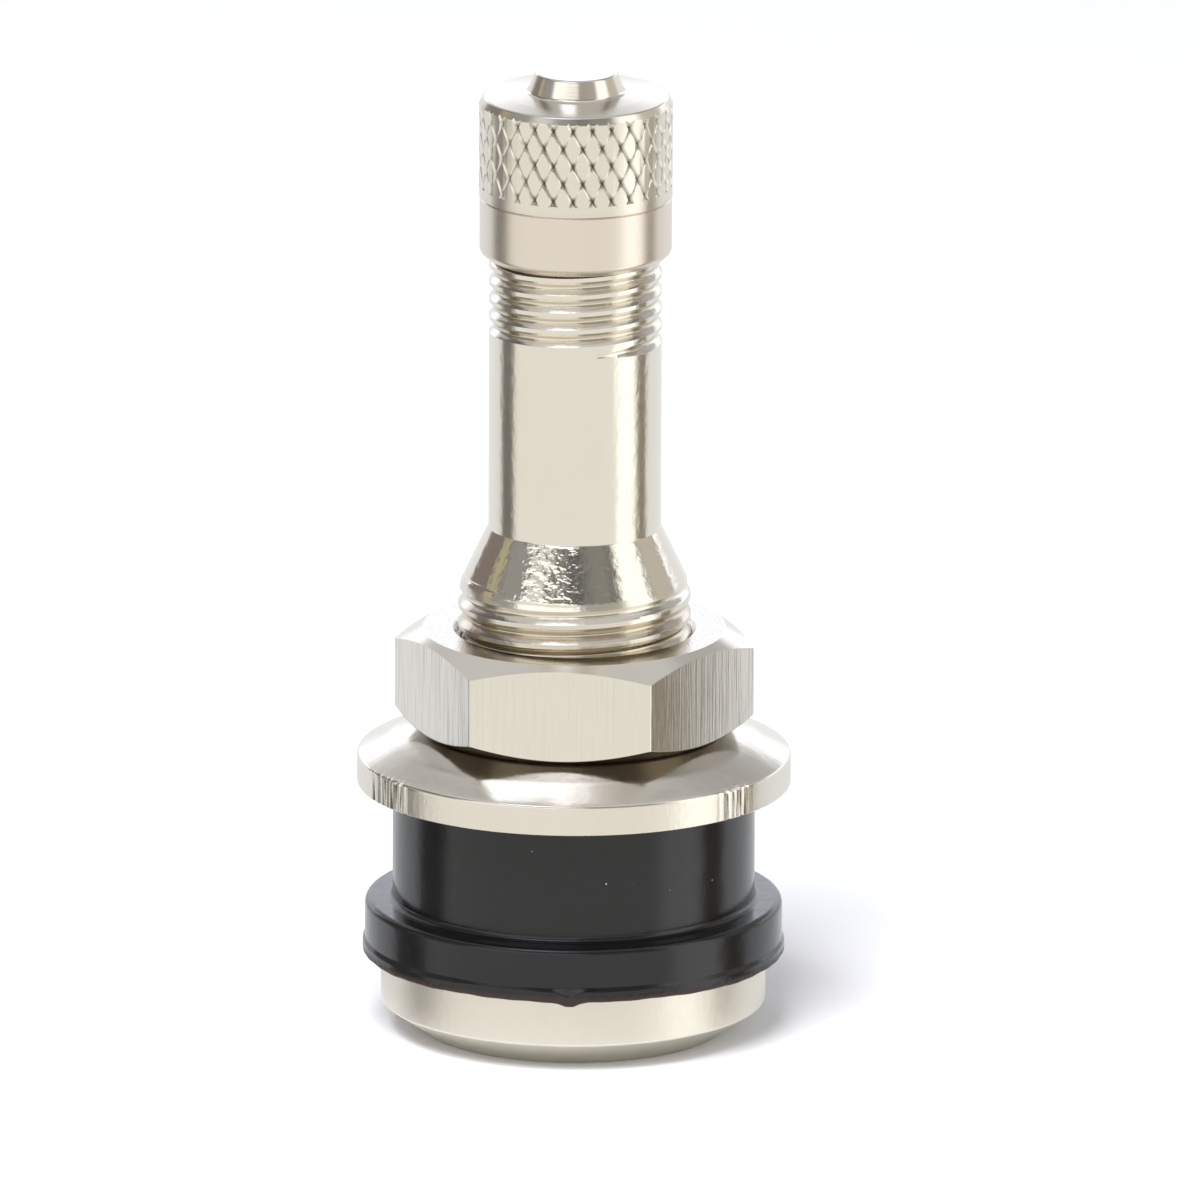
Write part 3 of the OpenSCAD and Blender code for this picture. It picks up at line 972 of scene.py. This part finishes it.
plug = turned("core_plug_body", [
    (plug_bore_r, plug_z, 0.1),
    (plug_r, plug_z, 0.12),
    (plug_r, plug_top_z, edge),
    (plug_bore_r, plug_top_z, 0.1),
])
cut(plug, groove_tool("plug_tool", plug_r, core_pitch * 0.5, core_pitch, THREAD_LAND,
                      start=(0, plug_z - 1.2), turns=7))
print("plug turned and threaded:", len(plug.data.polygons), "faces")

# %% Bridge of the core plug
bridge_w = 1.9
below = bridge_foot_z - 1
bridge = fresh("bridge", bpy.ops.mesh.primitive_cube_add, size=1)
bpy.ops.transform.resize(value=(bridge_w, 2.4 * bridge_r, bridge_z - bridge_foot_z))
bpy.ops.transform.translate(value=(0, 0, (bridge_z + bridge_foot_z) / 2))
bpy.ops.mesh.bevel(offset=0.1, segments=2, affect="EDGES")
weld()
turning = turned("bridge_turning", [
    (0, below),
    (bridge_r, below),
    (bridge_r, bridge_z, 0.25),
    (0, bridge_z),
], closed=False)
cut(bridge, turning, "INTERSECT")
cut(plug, bridge, "UNION")
drill = turned("drill", [
    (0, below),
    (pin_hole_r, below),
    (pin_hole_r, bridge_z - 0.1),
    (pin_hole_r + 0.2, bridge_z + 0.1),
    (0, bridge_z + 0.1),
], sides=48, closed=False)
cut(plug, drill)
shade(plug, 40)
print("core plug:", len(plug.data.polygons), "faces")

# %% Core barrel
barrel_z, barrel_top_z, _ = span("core_barrel")
barrel_foot = radii_at("core_barrel", barrel_z)
barrel_mouth = radii_at("core_barrel", barrel_top_z)
ledge_r, barrel_r = barrel_foot[0], barrel_foot[-1]
barrel_bore_r, collar_r = barrel_mouth[0], barrel_mouth[-1]
packing_z, packing_top_z, packing_r = span("barrel_gasket")
ledge_z = heights_at("core_barrel", ledge_r)[-1]
crimp_z = packing_z - 1.2
crimp_h = 0.25
tube = turned("core_barrel_tube", [
    (ledge_r, barrel_z, 0.08),
    (barrel_r, barrel_z, 0.15),
    (barrel_r, crimp_z - crimp_h),
    (barrel_r - 0.1, crimp_z, 0.2),
    (barrel_r, crimp_z + crimp_h),
    (barrel_r, packing_top_z),
    (collar_r, packing_top_z, 0.08),
    (collar_r, barrel_top_z, 0.08),
    (barrel_bore_r, barrel_top_z, 0.1),
    (barrel_bore_r, ledge_z),
    (ledge_r, ledge_z, 0.06),
])
shade(tube)
print(f"barrel {barrel_top_z - barrel_z:.2f} mm long")

# %% Packing ring
packing_foot_r = radii_at("barrel_gasket", packing_z)[-1]
packing_seal_z = heights_at("barrel_gasket", packing_r)[0]
ring = turned("packing_ring", [
    (barrel_r, packing_z),
    (packing_foot_r, packing_z, 0.06),
    (packing_r, packing_seal_z, 0.12),
    (packing_r, packing_top_z, 0.12),
    (barrel_r, packing_top_z),
])
shade(ring)
print(f"packing ring {2 * packing_r:.2f} mm across")

# %% [markdown]
# The pin carries everything that moves in the core: the collar that the spring lifts, and at its foot the
# cup with the rubber seat. It is riveted over at the foot, so the end is a little wider than the rod.

# %% Pin
pin_z, pin_tip_z, _ = span("core_pin")
cup_z, cup_top_z, cup_r = span("seat_cup")
seat_z, seat_top_z, seat_rubber_r = span("seat_seal")
pin_r = radii_at("seat_seal", seat_z)[0]
rivet_r = radii_at("core_pin", pin_z)[-1]
pin_collar_r = max(radius for radius, _ in rings("core_pin"))
pin_collar_z, pin_collar_top_z = heights_at("core_pin", pin_collar_r)
pin = turned("core_pin_rod", [
    (0, pin_z),
    (rivet_r, pin_z, 0.18),
    (rivet_r, cup_z),
    (pin_r, cup_z),
    (pin_r, pin_collar_z),
    (pin_collar_r, pin_collar_z, 0.06),
    (pin_collar_r, pin_collar_top_z, 0.12),
    (pin_r, pin_collar_top_z, 0.1),
    (pin_r, pin_tip_z, 0.22),
    (0, pin_tip_z),
], sides=64, closed=False)
shade(pin)
print(f"pin {pin_tip_z - pin_z:.2f} mm long")

# %% Cup and rubber seat
cup = turned("seat_cup_shell", [
    (pin_r, cup_z),
    (cup_r, cup_z, 0.2),
    (cup_r, cup_top_z, 0.1),
    (seat_rubber_r, cup_top_z, 0.1),
    (seat_rubber_r, seat_z, 0.1),
    (pin_r, seat_z),
])
shade(cup)
seat = turned("seat_rubber", [
    (pin_r, seat_z),
    (seat_rubber_r, seat_z, 0.1),
    (seat_rubber_r, seat_top_z, 0.14),
    (pin_r + 0.12, seat_top_z, 0.08),
    (pin_r, seat_top_z - 0.12),
])
shade(seat)
print(f"seat stands {seat_top_z - cup_top_z:.2f} mm out of its cup")

# %% [markdown]
# The spring is a ring of wire swept along a helix by a Screw modifier. A real one ends in a closed coil
# at each end, so that it stands flat: the heights along the wire are moved to give it those coils.

# %% Core spring
WIRE_SIDES = 12
COIL_STEPS = 32
coils = 7
wire_r = 0.16
spring_z, spring_top_z, _ = span("core_spring")
coil_r = (pin_r + barrel_bore_r) / 2
rise = (spring_top_z - spring_z - 2 * wire_r) / coils
wire_turns = [math.tau * step / WIRE_SIDES for step in range(WIRE_SIDES)]
spring = draw("core_spring_coil", [
    (coil_r + wire_r * math.cos(turn), spring_z + wire_r + wire_r * math.sin(turn)) for turn in wire_turns
])
sweep(spring, rise, coils, COIL_STEPS)
print("wire swept:", len(spring.data.polygons), "faces")

# %% Closed coils
closed_rise = 2.1 * wire_r
open_rise = (rise * coils - 2 * closed_rise) / (coils - 2)
for vertex in spring.data.vertices:
    turns_done = (vertex.index // WIRE_SIDES) / COIL_STEPS
    lower, upper = min(turns_done, 1), max(turns_done - coils + 1, 0)
    wanted = (lower + upper) * closed_rise + (turns_done - lower - upper) * open_rise
    vertex.co.z += wanted - turns_done * rise
close_ends()
weld()
shade(spring, 60)
print(f"{coils} coils, {open_rise:.2f} mm apart")

# %% [markdown]
# ## Finishes
# Every finish reads the piece's own coordinates in millimetres, so a scratch has the same width on each
# piece. The radius from the stem's axis and the bearing round it are handy as well, because the pieces
# are turned.

# %% A bench for finishes
class Finish(Bench):
    """A material in the making, with the place on the piece at hand in millimetres."""

    def __init__(self, name):
        self.material = bpy.data.materials.new(name)
        self.material.use_nodes = True
        super().__init__(self.material.node_tree)
        place = self.node("ShaderNodeTexCoord", output="Object")
        self.spot = self.node("ShaderNodeVectorMath", {"operation": "SCALE"}, {0: place, "Scale": 1 / MM})
        x, y, self.z = self.split(self.spot)
        self.radius = (x * x + y * y) ** 0.5
        self.bearing = self.bearing_of(x, y)

    def noise(self, scale, stretch=(1, 1, 1), detail=2.0):
        """Noise with so many blobs to the millimetre, squeezed along each axis by the stretch."""
        spot = self.node("ShaderNodeVectorMath", {"operation": "MULTIPLY"}, {0: self.spot, 1: stretch})
        return self.node("ShaderNodeTexNoise", {}, {"Vector": spot, "Scale": scale, "Detail": detail})

    def noise_at(self, across, up, depth, detail=2.0):
        """Noise in a space of the finish's own making, such as round and along a turned piece."""
        spot = self.node("ShaderNodeCombineXYZ", {}, {0: across, 1: up, 2: depth})
        return self.node("ShaderNodeTexNoise", {}, {"Vector": spot, "Scale": 1.0, "Detail": detail})

    def done(self, tone, rough, relief, scale=1.0, metallic=1.0):
        """Joins colour, roughness and relief, whose height times the scale is in millimetres."""
        bump = {"Height": relief, "Distance": scale * MM, "Strength": 1.0}
        sockets = {"Base Color": tone, "Roughness": rough, "Metallic": metallic}
        sockets["Normal"] = self.node("ShaderNodeBump", {}, bump)
        shader = self.node("ShaderNodeBsdfPrincipled", {}, sockets)
        self.node("ShaderNodeOutputMaterial", {}, {"Surface": shader})
        print(f"{self.material.name}: {len(self.tree.nodes)} nodes")
        return self.material


print("finishes are measured in millimetres")

# %% [markdown]
# Nickel plate is bright and a little warm. Plating follows every mark of the metal below it: the plain
# stem is slightly wavy and the taper is wrinkled like hammered tin. The roots of the threads get a brown
# painted shade, strongest at the sides, the shank is browner all over, and the bevel at the foot of the
# head gets a greenish-grey painted shade.

# %% Nickel on the stem
NICKEL = rgb(0.79, 0.75, 0.665)
NICKEL_WARM = rgb(0.77, 0.72, 0.625)
STAIN_AND_SHADE = rgb(0.50, 0.42, 0.30)


def stem_nickel():
    finish = Finish("nickel_turned")
    tone = finish.mix(finish.noise(0.8, (1, 1, 0.5)), NICKEL_WARM, NICKEL)
    neck_root = finish.within(finish.z, runout_z - 0.6, mouth_z + 1, 0.1)
    neck_root = neck_root * (1 - finish.between(finish.radius, stem_r - 0.36, stem_r - 0.08))
    neck_root = neck_root * finish.between(finish.radius, core_r + 0.2, core_r + 0.4)
    shank = finish.within(finish.z, head_z + 1, shoulder_z - 0.6, 0.5)
    shank_root = shank * (1 - finish.between(finish.radius, shank_r - 0.32, shank_r - 0.05))
    # Painted shade: the brown in the roots of the threads grows from the front towards the sides.
    aside = finish.between((finish.bearing * finish.bearing) ** 0.5, 20, 50)
    tone = finish.mix((neck_root + shank_root) * (0.15 + aside * 0.4), tone, STAIN_AND_SHADE)
    tone = finish.mix(shank * 0.4, tone, STAIN_AND_SHADE)
    # Painted shade: the bevel at the foot of the head is darkened to greenish grey.
    foot_shade = 1 - finish.between(finish.z, bevel_z - 0.15, bevel_z)
    tone = finish.mix(foot_shade * 0.8, tone, rgb(0.62, 0.60, 0.52))
    taper = finish.within(finish.z, shoulder_z + 0.35, stem_z - 0.05, 0.1)
    head = 1 - finish.between(finish.z, head_z, head_z + 0.1)
    wavy = finish.noise(0.9, (1, 1, 0.3))
    dents = finish.noise(3.0, (1, 1, 0.8), 3.0)
    wrinkle = finish.noise(2.0, (1, 1, 1.4), 2.0)
    grain = finish.noise(14.0)
    crinkled = taper * (0.16 + 0.84 * finish.within(finish.bearing, -36, 2, 8))
    relief = wavy * 0.012 + dents * 0.011 + crinkled * wrinkle * 0.07 + grain * (0.0008 + head * 0.0012)
    rough = 0.13 + 0.1 * finish.noise(2.2) - taper * 0.08 + head * 0.2
    return finish.done(tone, rough, relief)


stem_finish = stem_nickel()

# %% [markdown]
# The cap has the same plate with a satin touch. The pits of the knurl get a dark painted shade, and the
# groove between two pits gets only a little of it, so it is only a little darker than the diamonds.

# %% Nickel on the cap
def cap_nickel():
    finish = Finish("nickel_knurled")
    tone = finish.mix(finish.noise(1.1), NICKEL_WARM, NICKEL)
    skirt = 1 - finish.between(finish.z, grip_foot_z, grip_foot_z + 0.4)
    tone = finish.mix(skirt, tone, rgb(0.77, 0.695, 0.605))
    # Painted shade: the knurl's grooves and pits are darker the deeper they lie.
    shaded_pits = finish.within(finish.z, knurl_foot_z, grip_top_z - 0.15, 0.05)
    shaded_pits = shaded_pits * finish.between(grip_r - finish.radius, 0.01, pit_depth)
    tone = finish.mix(shaded_pits * 0.9, tone, rgb(0.15, 0.125, 0.10))
    grain = finish.noise(11.0)
    marks = finish.noise_at(finish.bearing * 0.02, finish.z * 14.0, finish.radius * 9.0)
    button = 1 - finish.between(finish.radius, button_foot_r - 0.05, button_foot_r + 0.1)
    roof = finish.between(finish.z, grip_top_z - 0.05, grip_top_z + 0.05)
    rough = 0.25 + 0.06 * finish.noise(2.6) + shaded_pits * 0.25 - roof * 0.07 - button * 0.04
    relief = grain * 0.0006 + marks * 0.0010
    return finish.done(tone, rough, relief)


cap_finish = cap_nickel()

# %% [markdown]
# The nut was cut from drawn bar: its faces keep fine lines along the bar, which blur the light sideways.
# Its ends were turned, and show rings. All faces but the front one get a painted shade of duller grey
# with darker streaks, and a painted shadow darkens the cone at its foot, just above the washer.

# %% Nickel on the nut
def nut_nickel():
    finish = Finish("nickel_milled")
    cone_slope = (corner_r - nut_seat_r) / cone_h
    below_top = (nut_top_z - finish.z) * cone_slope + nut_seat_r - finish.radius
    above_foot = (finish.z - nut_z) * cone_slope + nut_seat_r - finish.radius
    face = finish.between(below_top, 0.03, 0.06) * finish.between(above_foot, 0.03, 0.06)
    front_right = (math.degrees(corner_turn) + 90) % 60
    # Painted shade: all faces but the front one get a duller grey, with darker grey streaks.
    shaded_side_faces = 1 - 0.85 * finish.within(finish.bearing, front_right - 60, front_right, 1)
    streak = finish.noise(9.0, (1, 1, 0.03), 3.0)
    tone = finish.mix(finish.noise(0.7), NICKEL_WARM, NICKEL)
    tone = finish.mix(face * shaded_side_faces * 0.5, tone, rgb(0.69, 0.67, 0.63))
    tone = finish.mix(face * shaded_side_faces * finish.between(streak, 0.48, 0.72) * 0.55, tone, rgb(0.40, 0.39, 0.38))
    # Painted shadow: the cone at the nut's foot, just above the washer, is nearly black.
    shaded_gap = 1 - finish.between(above_foot, 0.0, 0.04)
    tone = finish.mix(shaded_gap * 0.9, tone, rgb(0.10, 0.08, 0.06))
    ringed = finish.noise_at(finish.radius * 9.0, finish.z * 0.5, 0.0, 3.0)
    nick = finish.noise(3.0, (1, 1, 2.5), 4.0)
    relief = face * (0.3 + 0.7 * shaded_side_faces) * streak * 0.010 + (1 - face) * ringed * 0.003 + nick * 0.0016
    rough = 0.13 + 0.1 * streak
    return finish.done(tone, rough, relief)


nut_finish = nut_nickel()

# %% [markdown]
# The washer was tumbled smooth before it was plated, so only soft dents are left on top. Its side shows
# where the sheet tore in the press: fine upright ribs all round, with painted shade in the deeper parts
# of the two torn places.

# %% Nickel on the washer
def washer_nickel():
    finish = Finish("nickel_pressed")
    side = finish.within(finish.z, washer_edge_z + 0.04, rim_top_z - 0.14, 0.03)
    side = side * finish.between(finish.radius, washer_r - 0.4, washer_r - 0.3)
    ribs = finish.noise_at(finish.bearing * 0.9, finish.z * 1.3, 0.0, 4.0)
    tone = finish.mix(finish.noise(0.7), NICKEL_WARM, NICKEL)
    # Painted shade: the torn ribs are darker the deeper they lie.
    shaded_gap = side * finish.between(washer_r - finish.radius, 0.01, 0.12)
    tone = finish.mix(shaded_gap * 0.85, tone, rgb(0.13, 0.11, 0.09))
    dents = finish.noise(1.1, (1, 1, 1), 2.0)
    grain = finish.noise(9.0)
    relief = dents * 0.012 + grain * 0.0012 + side * ribs * (0.008 + shaded_gap * 0.04)
    rough = 0.14 + 0.08 * finish.noise(3.0) + side * 0.1
    return finish.done(tone, rough, relief)


washer_finish = washer_nickel()

# %% [markdown]
# Moulded rubber is nearly black and takes the polish of its mould, so it has soft reflections. The lip is
# thin, and its torn edge is brownish. A few white specks of moulding powder stay on it: a Voronoi texture
# scatters points, and only some of its cells get a speck.

# %% Black rubber
def black_rubber():
    finish = Finish("rubber_moulded")
    tone = finish.mix(finish.noise(1.3, detail=4.0), rgb(0.003, 0.003, 0.003), rgb(0.007, 0.007, 0.008))
    lip = finish.between(finish.radius, flange_r - 0.02, flange_r + 0.05)
    lip = lip * (1 - finish.between(finish.z, head_z + 0.05, head_z + 0.35))
    tone = finish.mix(lip * 0.8, tone, rgb(0.030, 0.012, 0.008))
    specks = {"Vector": finish.spot, "Scale": 1.1}
    speck_size = finish.node("ShaderNodeTexVoronoi", {}, specks, output="Distance")
    speck_pick = finish.node("ShaderNodeTexVoronoi", {}, specks, output="Color")
    chance = finish.node("ShaderNodeSeparateColor", {}, {0: speck_pick}, output=0)
    speck = (1 - finish.between(speck_size, 0.03, 0.06)) * finish.between(chance, 0.55, 0.57)
    tone = finish.mix(speck * 0.6, tone, rgb(0.55, 0.53, 0.46))
    relief = finish.noise(0.6) * 0.02 + finish.noise(9.0, detail=3.0) * 0.004
    relief = relief + lip * finish.noise(3.0) * 0.08
    rough = 0.12 + 0.1 * finish.noise(1.8, detail=3.0) + lip * 0.25
    return finish.done(tone, rough, relief, metallic=0.0)


rubber_finish = black_rubber()

# %% [markdown]
# The core is bare brass with the lathe's rings still on it, the pin and the spring are bright wire, and
# the packing ring is a dull red plastic.

# %% Brass of the core
def core_brass():
    finish = Finish("brass_turned")
    rings_left = finish.noise_at(finish.radius * 6.0, finish.z * 12.0, finish.bearing * 0.01, 3.0)
    tone = finish.mix(finish.noise(1.5), rgb(0.72, 0.50, 0.20), rgb(0.82, 0.62, 0.29))
    return finish.done(tone, 0.22 + 0.12 * rings_left, rings_left, 0.004)


brass_finish = core_brass()


# %% Steel of the core
def core_steel():
    finish = Finish("steel_drawn")
    drawn = finish.noise(7.0, (1, 1, 0.15), 3.0)
    tone = finish.mix(drawn, rgb(0.52, 0.52, 0.53), rgb(0.66, 0.66, 0.67))
    return finish.done(tone, 0.2 + 0.1 * drawn, drawn, 0.003)


steel_finish = core_steel()


# %% Plastic of the packing ring
def packing_plastic():
    finish = Finish("packing_red")
    cloud = finish.noise(2.4, detail=4.0)
    tone = finish.mix(cloud, rgb(0.30, 0.035, 0.028), rgb(0.44, 0.07, 0.05))
    return finish.done(tone, 0.42 + 0.15 * cloud, cloud, 0.01, metallic=0.0)


packing_finish = packing_plastic()

# %% [markdown]
# ## Put the pieces in the frame
# Each piece takes the place of its CAD node and rides on that node's body, so the nut, the cap and the
# pin move as they do in the simulation. The spring gets a mesh of its own, and the share of its length
# that it would keep, with its foot on the barrel's ledge, is worked out from the pin's travel.

# %% Place all pieces
def place(piece, finish, body, slot, *nodes):
    """Scales a finished piece to metres, gives it its finish and ties it to the frame."""
    pick(piece)
    piece.scale = (MM, MM, MM)
    bpy.ops.object.transform_apply(location=True, rotation=True, scale=True)
    piece.data.materials.clear()
    piece.data.materials.append(finish)
    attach(piece, body)
    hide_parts(*nodes)
    low, high = (Vector(corner) / MM for corner in (piece.bound_box[0], piece.bound_box[6]))
    faces = len(piece.data.polygons)
    print(f"{piece.name}: {faces} faces, {low.z:.2f} to {high.z:.2f} mm high, {high.x:.2f} mm out")


place(stem, stem_finish, "stem", "nickel_plate", "valve_stem")
place(seal, rubber_finish, "stem", "seal_rubber", "grommet_sleeve", "grommet_flange")
place(washer, washer_finish, "washer", "nickel_plate", "washer")
place(nut, nut_finish, "nut", "nickel_plate", "hex_nut")
place(cap, cap_finish, "cap", "nickel_plate", "cap")
place(gasket, rubber_finish, "cap_gasket", "seal_rubber", "cap_gasket")
place(plug, brass_finish, "stem", "core_brass", "core_plug")
place(tube, brass_finish, "stem", "core_brass", "core_barrel")
place(ring, packing_finish, "stem", "packing", "barrel_gasket")
place(pin, steel_finish, "pin", "core_steel", "core_pin")
place(cup, brass_finish, "pin", "core_brass", "seat_cup")
place(seat, rubber_finish, "pin", "seal_rubber", "seat_seal")
place(spring, steel_finish, "stem", "core_steel", "core_spring")

# %% Share of its length the spring keeps
pin_travel = next(joint["range_m"][1] for joint in frame["joints"] if joint["name"] == "pin_press") / MM
spring_keep = 1 - pin_travel / (spring_top_z - spring_z)
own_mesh(spring)
print(f"the spring keeps {spring_keep:.2f} of its length")
